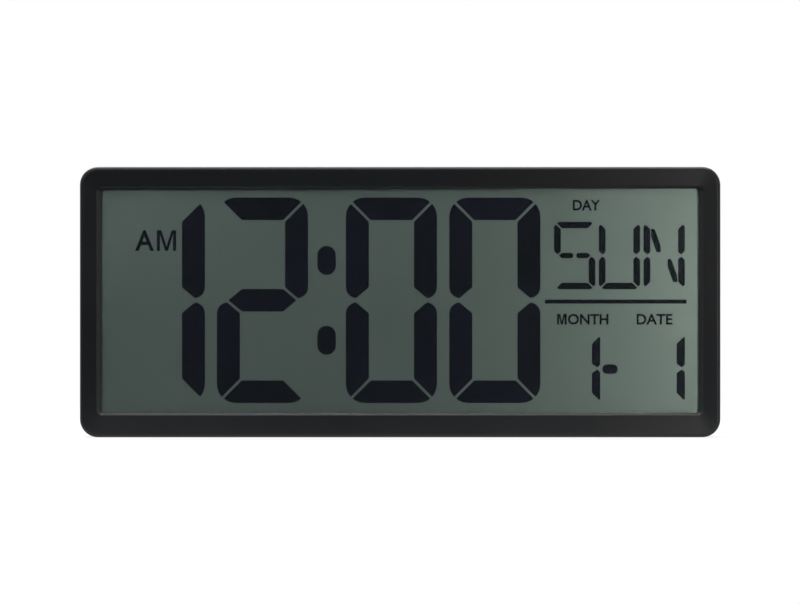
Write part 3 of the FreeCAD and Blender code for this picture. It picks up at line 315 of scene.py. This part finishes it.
def clear_sheet(name, tint, gloss, roughness, patches=0.0):
    """Clear sheet that lets lamps through. Square on it mirrors the share gloss, and more aslant."""
    made = Finish(name)
    aslant = made.node("LayerWeight", sockets={"Blend": 0.5}, output="Facing")
    rough = roughness + made.noise(0.05, 3) * patches if patches else roughness
    through = made.node("BsdfRefraction", sockets={"Color": tint, "Roughness": 0.0, "IOR": 1.0})
    mirror = made.node("BsdfGlossy", sockets={"Color": (1, 1, 1), "Roughness": rough})
    shown = made.node("MixShader", sockets={
        0: gloss + aslant ** 5.0 * (1 - gloss), 1: through, 2: mirror})
    open_way = made.node("BsdfTransparent", sockets={"Color": tint})
    return made.done(made.node("MixShader", sockets={
        0: made.ray("Shadow", "Diffuse"), 1: shown, 2: open_way}))


finish_node("display_window", clear_sheet("window_acrylic", (0.985, 0.99, 0.988), 0.02, 0.12))

# ---------------------------------------------------------------- liquid-crystal display, front half
# A matt polariser film is laminated on the front glass. A glue line round the cell joins the
# front glass to the rear one.

finish_node("lcd_front_polariser", clear_sheet("polariser_film", (0.93, 0.94, 0.93), 0.002, 0.36, 0.06))
finish_node("lcd_front_glass", clear_sheet("cell_glass", (0.975, 0.985, 0.978), 0.002, 0.05))

glue = Finish("seal_glue")
cloud = glue.noise(0.004, 2)
finish_node("lcd_cell_seal", glue.done(glue.principled(
    base_color=glue.blend(cloud, (0.05, 0.055, 0.05), (0.08, 0.085, 0.075)), roughness=0.4 + cloud * 0.1)))

# ---------------------------------------------------------------- dark segments and words
# Where the electrodes are driven, the liquid crystal turns black with a blue cast. The words are
# electrodes too, in a plain sans letter. Two of them have an M of their own, whose middle comes
# down to the line.

segments = Finish("lcd_dark")
drift = segments.noise(0.06, 2)
segment_dark = segments.done(segments.principled(
    base_color=segments.blend(drift.held(0.3, 0.7), (0.0040, 0.0082, 0.0130), (0.0095, 0.0105, 0.0255)),
    roughness=0.6 + drift * 0.1, ior=1.05))
finish_node("lcd_time_segments", segment_dark)
finish_node("lcd_calendar_segments", segment_dark)

segment_low, segment_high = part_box("lcd_time_segments")


def keep(name, shape, body, material):
    """Makes a finished shape, in place, a piece that rides on one body."""
    piece = as_object(name, shape)
    piece.data.materials.append(material)
    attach(piece, body)
    return piece


def raise_flat(shape, corners, y0, y1):
    """Adds a flat solid between two depths, from its outline's corners, and gives its far corners."""
    outline = shape.faces.new([shape.verts.new((x, y0, z)) for x, z in corners])
    extruded = bmesh.ops.extrude_face_region(shape, geom=[outline])["geom"]
    far_corners = [v for v in extruded if isinstance(v, bmesh.types.BMVert)]
    bmesh.ops.translate(shape, vec=(0, y1 - y0, 0), verts=far_corners)
    return far_corners


def upright_m(left, right, low, high, stem):
    """Outline of a capital M with upright stems, whose middle comes down to the line."""
    middle = (left + right) / 2
    notch = 1.45 * stem
    foot = 0.45 * stem
    return [(left, low), (left, high), (left + notch, high), (middle, low + notch), (right - notch, high),
            (right, high), (right, low), (right - stem, low), (right - stem, high - notch),
            (middle + foot, low), (middle - foot, low), (left + stem, high - notch), (left + stem, low)]


def letters(name, text, left, right, low, high, y0, y1, body, material, behind=False, weight=0.008,
            capital_m=None):
    """Flat letters between two depths, fitted into a box whose sides are in millimetres.

    capital_m gives the left side, right side and stem of an M that is drawn beside them.
    """
    curve = bpy.data.curves.new(name, "FONT")
    curve.body = text
    curve.extrude = weight
    curve.bevel_depth = weight
    curve.bevel_resolution = 0
    curve.resolution_u = 6
    holder = bpy.data.objects.new(name, curve)
    scene.collection.objects.link(holder)
    bpy.context.view_layer.update()
    mesh = bpy.data.meshes.new_from_object(holder.evaluated_get(bpy.context.evaluated_depsgraph_get()))
    bpy.data.objects.remove(holder)
    shape = bmesh.new()
    shape.from_mesh(mesh)
    bpy.data.meshes.remove(mesh)
    bmesh.ops.remove_doubles(shape, verts=shape.verts[:], dist=1e-6)
    xs = [v.co.x for v in shape.verts]
    ys = [v.co.y for v in shape.verts]
    fit = Matrix.Diagonal(((right - left) / 1000 / (max(xs) - min(xs)),
                           (high - low) / 1000 / (max(ys) - min(ys)),
                           (y1 - y0) / 4 / weight, 1))
    fit = fit @ Matrix.Translation((-(min(xs) + max(xs)) / 2, -(min(ys) + max(ys)) / 2, 0))
    turn = Matrix.Rotation(math.pi if behind else 0, 4, "Z") @ Matrix.Rotation(math.pi / 2, 4, "X")
    middle = Matrix.Translation(((left + right) / 2000, (y0 + y1) / 2, (low + high) / 2000))
    bmesh.ops.transform(shape, matrix=middle @ turn @ fit, verts=shape.verts)
    if capital_m:
        m_left, m_right, stem = capital_m
        corners = upright_m(m_left, m_right, low, high, stem)
        raise_flat(shape, [(x / 1000, z / 1000) for x, z in corners], y0, y1)
    bmesh.ops.recalc_face_normals(shape, faces=shape.faces[:])
    return keep(name, shape, body, material)


for name, text, left, right, low, high, bold, capital_m in (
        ("word_am", "A", -151.7, -140.9, 106.6, 118.4, 0.018, (-139.3, -128.2, 1.8)),
        ("word_day", "DAY", 98.8, 114.5, 129.7, 135.8, 0.026, None),
        ("word_month", "ONTH", 96.0, 119.2, 64.4, 70.5, 0.026, (89.8, 95.3, 1.2)),
        ("word_date", "DATE", 135.3, 155.9, 64.4, 70.5, 0.026, None)):
    letters(name, text, left, right, low, high, segment_low.y, segment_high.y, "clock_case",
            segment_dark, weight=bold, capital_m=capital_m)

# ---------------------------------------------------------------- liquid-crystal display, rear half
# The rear glass carries a second polariser with a grey reflecting film, whose fine metal flakes
# give the idle display its grey-green ground.

ground = Finish("lcd_ground")
flakes = ground.noise(0.0005, 2, 0.7)
clouds = ground.noise(0.05, 2)
display_ground = ground.done(ground.principled(
    base_color=ground.blend(clouds * 0.75 + flakes * 0.25, (0.196, 0.246, 0.238), (0.243, 0.288, 0.286)),
    roughness=0.34 + flakes * 0.08, metallic=0.82, ior=1.2))
finish_node("lcd_rear_glass", display_ground)
finish_node("lcd_reflector", display_ground)

# ---------------------------------------------------------------- foam strip
# A strip of closed-cell foam runs round the back of the display. It is cut from sheet, glued on
# one side, and takes up the play between the glass and the retainer.

foam = Finish("foam_grey")
pores = foam.noise(0.0007, 3, 0.7)
foam_grey = foam.done(foam.principled(
    base_color=foam.blend(pores.held(0.35, 0.65), (0.06, 0.06, 0.06), (0.17, 0.17, 0.17)),
    roughness=0.85 + pores * 0.1, normal=foam.bump(pores, 0.00012)))

strip_width = 0.005
strip_play = 0.00004
strip_rounding = 0.3
strip_low, strip_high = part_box("lcd_cushion")
strip_size = strip_high - strip_low
strip = bmesh.new()
bmesh.ops.create_grid(strip, x_segments=1, y_segments=1, size=0.5)
bmesh.ops.scale(strip, vec=(strip_size.x, strip_size.z, 1), verts=strip.verts)
bmesh.ops.rotate(strip, matrix=Matrix.Rotation(-math.pi / 2, 3, "X"), verts=strip.verts)
bmesh.ops.translate(strip, vec=(strip_low + strip_high) / 2, verts=strip.verts)
sheet_middle = strip.faces[:]
bmesh.ops.inset_individual(strip, faces=sheet_middle, thickness=strip_width)
bmesh.ops.delete(strip, geom=sheet_middle, context="FACES")
bmesh.ops.solidify(strip, geom=strip.faces[:], thickness=strip_size.y)
bmesh.ops.recalc_face_normals(strip, faces=strip.faces[:])
strip_y = sum((v.co.y for v in strip.verts), 0.0) / len(strip.verts)
bmesh.ops.translate(strip, vec=(0, (strip_low.y + strip_high.y) / 2 - strip_y, 0), verts=strip.verts)
long_edges = [edge for edge in strip.edges if edge.calc_length() > 10 * strip_width]
bmesh.ops.bevel(strip, geom=long_edges, offset=strip_size.y * strip_rounding, segments=3, profile=0.5,
                affect="EDGES", material=-1)
bmesh.ops.scale(strip, vec=(1, 1 - 2 * strip_play / strip_size.y, 1), verts=strip.verts,
                space=Matrix.Translation(-(strip_low + strip_high) / 2))
cushion = keep("foam_strip", strip, "clock_case", foam_grey)
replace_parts(cushion, "lcd_cushion")

# ---------------------------------------------------------------- retainer
# A skeleton frame of natural white ABS. It presses the display forwards and carries the circuit
# board on four posts.

retainer = Finish("retainer_white")
flow = retainer.noise(0.03, 3, 0.6)
finish_node("lcd_retainer", retainer.done(retainer.principled(
    base_color=retainer.blend(flow, (0.66, 0.66, 0.62), (0.76, 0.76, 0.72)),
    roughness=0.38 + flow * 0.15, normal=retainer.bump(retainer.noise(0.0005), 0.000008), ior=1.45)))

# ---------------------------------------------------------------- screws
# Self-tapping cross-head screws in zinc-plated steel. Eight hold the retainer and four the board.
# The six long ones lie deep in wells in the back and draw the cover onto the housing.

steel = Finish("screw_steel")
turning = steel.noise(0.0006, 2, 0.6, (1, 0.2, 1))
plating = steel.noise(0.002, 3)
screw_steel = steel.done(steel.principled(
    base_color=steel.blend(plating, (0.40, 0.40, 0.41), (0.55, 0.55, 0.54)),
    roughness=0.24 + turning * 0.2, metallic=1.0, normal=steel.bump(turning, 0.000006)))
finish_node("retainer_screws", screw_steel)
finish_node("board_screws", screw_steel)

screw_well = 0.002
screw_head = 0.0023
screw_crown = 0.0016
screw_shank = 0.00125
screw_length = 0.010
corner_x, inner_x = 0.1772, 0.062
low_z, high_z = 0.0064, 0.1481
screw_places = [(side * corner_x, z) for side in (-1, 1) for z in (low_z, high_z)]
screw_places += [(side * inner_x, low_z) for side in (-1, 1)]


def turned(profile, steps):
    """A closed solid turned about the depth axis from (radius, depth) places."""
    shape = bmesh.new()
    row = [shape.verts.new((radius, depth, 0)) for radius, depth in profile]
    edges = [shape.edges.new(pair) for pair in zip(row, row[1:])]
    bmesh.ops.spin(shape, geom=row + edges, cent=(0, 0, 0), axis=(0, 1, 0), angle=math.tau, steps=steps,
                   use_merge=True)
    bmesh.ops.remove_doubles(shape, verts=shape.verts[:], dist=1e-6)
    bmesh.ops.recalc_face_normals(shape, faces=shape.faces[:])
    return shape


shaft = [(0, screw_crown), (0.5 * screw_head, screw_crown), (0.8 * screw_head, 0.85 * screw_crown),
         (0.97 * screw_head, 0.55 * screw_crown), (screw_head, 0.2 * screw_crown), (screw_head, 0),
         (screw_shank, 0), (screw_shank, screw_shank - screw_length), (0, -screw_length)]
blank = as_object("screw_blank", turned(shaft, 32))

wing = 0.00032
cross_reach = 0.0014
cross_taper = 0.45
cross = []
for quarter in range(4):
    spin = Matrix.Rotation(-quarter * math.pi / 2, 3, "Y")
    for x, z in ((-wing, -cross_reach), (wing, -cross_reach), (wing, -wing)):
        corner = spin @ Vector((x, 0, z))
        cross.append((corner.x, corner.z))
punch_shape = bmesh.new()
point = raise_flat(punch_shape, cross, 1.2 * screw_crown, 0.4 * screw_crown)
bmesh.ops.scale(punch_shape, vec=(cross_taper, 1, cross_taper), verts=point)
bmesh.ops.recalc_face_normals(punch_shape, faces=punch_shape.faces[:])
punch = as_object("screw_punch", punch_shape)
struck = blank.modifiers.new("struck", "BOOLEAN")
struck.operation = "DIFFERENCE"
struck.object = punch
bpy.context.view_layer.update()
one_screw = bpy.data.meshes.new_from_object(blank.evaluated_get(bpy.context.evaluated_depsgraph_get()))
bpy.data.objects.remove(blank)
bpy.data.objects.remove(punch)

first_turn, next_turn = 0.3, 0.7
six_screws = bmesh.new()
for count, (x, z) in enumerate(screw_places):
    driven = Matrix.Rotation(count * next_turn + first_turn, 4, "Y")
    copy = one_screw.copy()
    copy.transform(Matrix.Translation((x, screw_well, z)) @ driven)
    six_screws.from_mesh(copy)
    bpy.data.meshes.remove(copy)
bmesh.ops.remove_doubles(six_screws, verts=six_screws.verts[:], dist=1e-6)
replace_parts(keep("cover_screws", six_screws, "clock_case", screw_steel), "case_screws")

# ---------------------------------------------------------------- zebra connector
# A bar of silicone rubber with thin conducting layers. It is squeezed between the glass's ledge
# and the board and joins their contact rows.

layer_spacing = 0.00098696
zebra = Finish("zebra_silicone")
layer = zebra.stripes("X", layer_spacing)
finish_node("zebra_connector", zebra.done(zebra.principled(
    base_color=zebra.blend(layer.held(0.4, 0.6), (0.02, 0.02, 0.02), (0.50, 0.42, 0.42)),
    roughness=0.55 + layer * 0.1)))

# ---------------------------------------------------------------- circuit board and its parts
# A green single-sided board. It carries the driver under a black resin cap, a quartz crystal in
# its can, five chip parts and the four push switches.

tracks_per_metre = 420.0
board = Finish("board_green")
copper = board.node("TexVoronoi", {"distance": "MANHATTAN", "feature": "F1"}, {
    "Vector": board.place(), "Scale": tracks_per_metre, "Randomness": 0.6}, output="Distance").held(0.42, 0.5)
haze = board.noise(0.02, 2)
finish_node("main_board", board.done(board.principled(
    base_color=board.blend(copper, (0.012, 0.115, 0.045), (0.030, 0.215, 0.095)),
    roughness=0.28 + haze * 0.12, normal=board.bump(copper, 0.00003))))

resin = Finish("resin_black")
ripple = resin.noise(0.003, 2)
finish_node("display_driver", resin.done(resin.principled(
    base_color=resin.blend(ripple, (0.006, 0.006, 0.006), (0.014, 0.014, 0.014)),
    roughness=0.16 + ripple * 0.12, normal=resin.bump(ripple, 0.00008))))

can = Finish("crystal_can")
drawn = can.noise(0.0004, 2, 0.6, (1, 1, 0.1))
finish_node("quartz_crystal", can.done(can.principled(
    base_color=can.blend(drawn, (0.62, 0.62, 0.63), (0.78, 0.78, 0.78)),
    roughness=0.18 + drawn * 0.15, metallic=1.0)))

chip = Finish("chip_ceramic")
speckle = chip.noise(0.0002, 2, 0.7)
finish_node("chip_components", chip.done(chip.principled(
    base_color=chip.blend(speckle, (0.30, 0.22, 0.14), (0.42, 0.33, 0.23)), roughness=0.45 + speckle * 0.1)))

finish_node("switch_bodies", moulded_plastic("switch_black", (0.014, 0.014, 0.014), 0.42, 0.0002))

plunger = Finish("plunger_white")
gate = plunger.noise(0.002, 2)
plunger_white = plunger.done(plunger.principled(
    base_color=plunger.blend(gate, (0.62, 0.62, 0.60), (0.72, 0.72, 0.70)), roughness=0.22 + gate * 0.12))
for key in ("mode", "up", "down", "hour_format"):
    finish_node(key + "_switch_plunger", plunger_white)

# ---------------------------------------------------------------- batteries, contacts and leads
# Two AA cells in a printed jacket with bare metal ends lie head to tail. Nickel-plated spring
# steel contacts hold them, and two PVC-covered leads run to the board.

cell_half = 0.02525
nub_length = 0.0013
jacket_short = 0.0007
band_start = 0.0135
sign_place = 0.0185
sign_reach = 0.0016
sign_stroke = 0.0004


def cell_finish(name, side):
    """Jacket with bare ends, a plus and a minus sign. The nub points to +X at side 1, else to -X."""
    made = Finish(name)
    low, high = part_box(name)
    across = made.along("X") - (low.x + high.x) / 2
    height = made.along("Z") - (low.z + high.z) / 2
    outward = made.along("Y") > (low.y + high.y) / 2
    level = height.maths("ABSOLUTE", height)
    shoulder = (across * side) > (cell_half - nub_length - jacket_short)
    bare = shoulder.larger((across * -side) > (cell_half - jacket_short))
    plus_x = across - side * sign_place
    minus_x = across + side * sign_place
    plus_off = plus_x.maths("ABSOLUTE", plus_x)
    minus_off = minus_x.maths("ABSOLUTE", minus_x)
    upright = (plus_off < sign_stroke) * (level < sign_reach)
    plus = upright.larger((plus_off < sign_reach) * (level < sign_stroke))
    minus = (minus_off < sign_stroke) * (level < sign_reach)
    printed = plus.larger(minus) * outward
    band = (across * side) > band_start
    scuffs = made.noise(0.003, 3, 0.6)
    jacket = made.blend(band, (0.16, 0.17, 0.18), (0.03, 0.05, 0.09))
    jacket = made.blend(scuffs * 0.3, jacket, (0.24, 0.25, 0.26))
    inked = made.blend(printed, jacket, (0.80, 0.80, 0.80))
    return made.done(made.principled(
        base_color=made.blend(bare, inked, (0.62, 0.61, 0.58)),
        roughness=0.26 + scuffs * 0.16, metallic=bare * 0.85 + 0.15 * (1.0 - printed)))


for cell, side in (("battery_cell_upper", 1), ("battery_cell_lower", -1)):
    finish_node(cell, cell_finish(cell, side))

nickel = Finish("contact_nickel")
rolled = nickel.noise(0.0005, 3, 0.6, (1, 0.15, 1))
contact_nickel = nickel.done(nickel.principled(
    base_color=nickel.blend(rolled, (0.60, 0.58, 0.53), (0.74, 0.72, 0.67)),
    roughness=0.20 + rolled * 0.18, metallic=1.0, normal=nickel.bump(rolled, 0.000004)))
for contact in ("positive", "negative", "bridge"):
    finish_node("battery_%s_contact" % contact, contact_nickel)


def lead_finish(name, dark, light):
    made = Finish(name)
    marks = made.noise(0.0015, 2)
    return made.done(made.principled(
        base_color=made.blend(marks, dark, light), roughness=0.36 + marks * 0.15))


finish_node("power_lead_red", lead_finish("lead_red", (0.40, 0.012, 0.012), (0.52, 0.025, 0.020)))
finish_node("power_lead_black", lead_finish("lead_black", (0.010, 0.010, 0.010), (0.022, 0.022, 0.022)))

# ---------------------------------------------------------------- rear cover
# The black ABS back is moulded with a coarser eroded texture than the front. It has the battery
# bay, the recesses for the feet, the keyhole pockets and the sunk panel for the keys.

cover_black = moulded_plastic("cover_black", (0.0075, 0.0078, 0.0082), 0.46, 0.0007, 0.000022)
finish_node("rear_cover", cover_black)

# ---------------------------------------------------------------- keys and their legends
# Four ABS caps with a finer, shinier skin stand in the sunk panel. Their names are moulded in
# relief under them and tipped with grey ink.

key_black = moulded_plastic("key_black", (0.0085, 0.0085, 0.0090), 0.30, 0.0002, 0.000005)
legend = Finish("legend_grey")
thin_ink = legend.noise(0.0006, 3, 0.6)
legend_grey = legend.done(legend.principled(
    base_color=legend.blend(thin_ink.held(0.3, 0.6), (0.26, 0.26, 0.25), (0.46, 0.46, 0.45)),
    roughness=0.42 + thin_ink * 0.15))
panel_y = 0.0138
relief = 0.00015
legend_low, legend_high = 118.3, 121.2
for key, place, text, half in (("mode", -33, "SET", 4.2), ("up", -11, "UP", 2.9), ("down", 11, "DOWN", 6.1),
                               ("hour_format", 33, "12/24", 5.7)):
    finish_node(key + "_key", key_black)
    letters("legend_" + key, text, place - half, place + half, legend_low, legend_high, panel_y - relief,
            panel_y + relief, "clock_case", legend_grey, behind=True)

# ---------------------------------------------------------------- battery door
# The lid is moulded in the cover's plastic. A raised word and a raised arrow, polished on top, show
# where its springy tongue is pressed. Their base colour is painted five times lighter than the lid's,
# a painted sheen for their polished tops; only their lower roughness is real polish.

finish_node("battery_door", cover_black)
# Painted sheen: the lighter colour stands in for light on the polished tops; the lower roughness is the real
# polish.
polished_with_painted_sheen = moulded_plastic("polished_with_painted_sheen", (0.040, 0.040, 0.041), 0.24, 0.0002, 0.000003)
door_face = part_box("battery_door")[1].y
letters("door_word", "OPEN", -6.2, 6.2, 58.4, 61.6, door_face - relief, door_face + relief, "battery_door",
        polished_with_painted_sheen, behind=True)
arrow_half = 0.0028
arrow_base, arrow_tip = 0.0778, 0.0742
arrow_rounding = 0.00008
arrow = bmesh.new()
raise_flat(arrow, [(-arrow_half, arrow_base), (arrow_half, arrow_base), (0, arrow_tip)],
           door_face - relief, door_face + relief)
bmesh.ops.recalc_face_normals(arrow, faces=arrow.faces[:])
bmesh.ops.bevel(arrow, geom=arrow.edges[:], offset=arrow_rounding, segments=2, profile=0.5,
                affect="EDGES", material=-1)
keep("door_arrow", arrow, "battery_door", polished_with_painted_sheen)

# ---------------------------------------------------------------- feet and their pads
# Two hollow ABS feet fold out of the back on moulded trunnions. A ribbed rubber pad is let into
# each so that it grips the table.

rib_spacing = 0.0023687
rubber = Finish("pad_rubber")
rib = rubber.stripes("Z", rib_spacing)
bloom = rubber.noise(0.004, 3)
pad_rubber = rubber.done(rubber.principled(
    base_color=rubber.blend(bloom, (0.020, 0.020, 0.020), (0.034, 0.034, 0.034)),
    roughness=0.72 + bloom * 0.12, normal=rubber.bump(rib, 0.00012)))
for side in ("left", "right"):
    finish_node(side + "_stand_foot", cover_black)
    finish_node(side + "_foot_pad", pad_rubber)
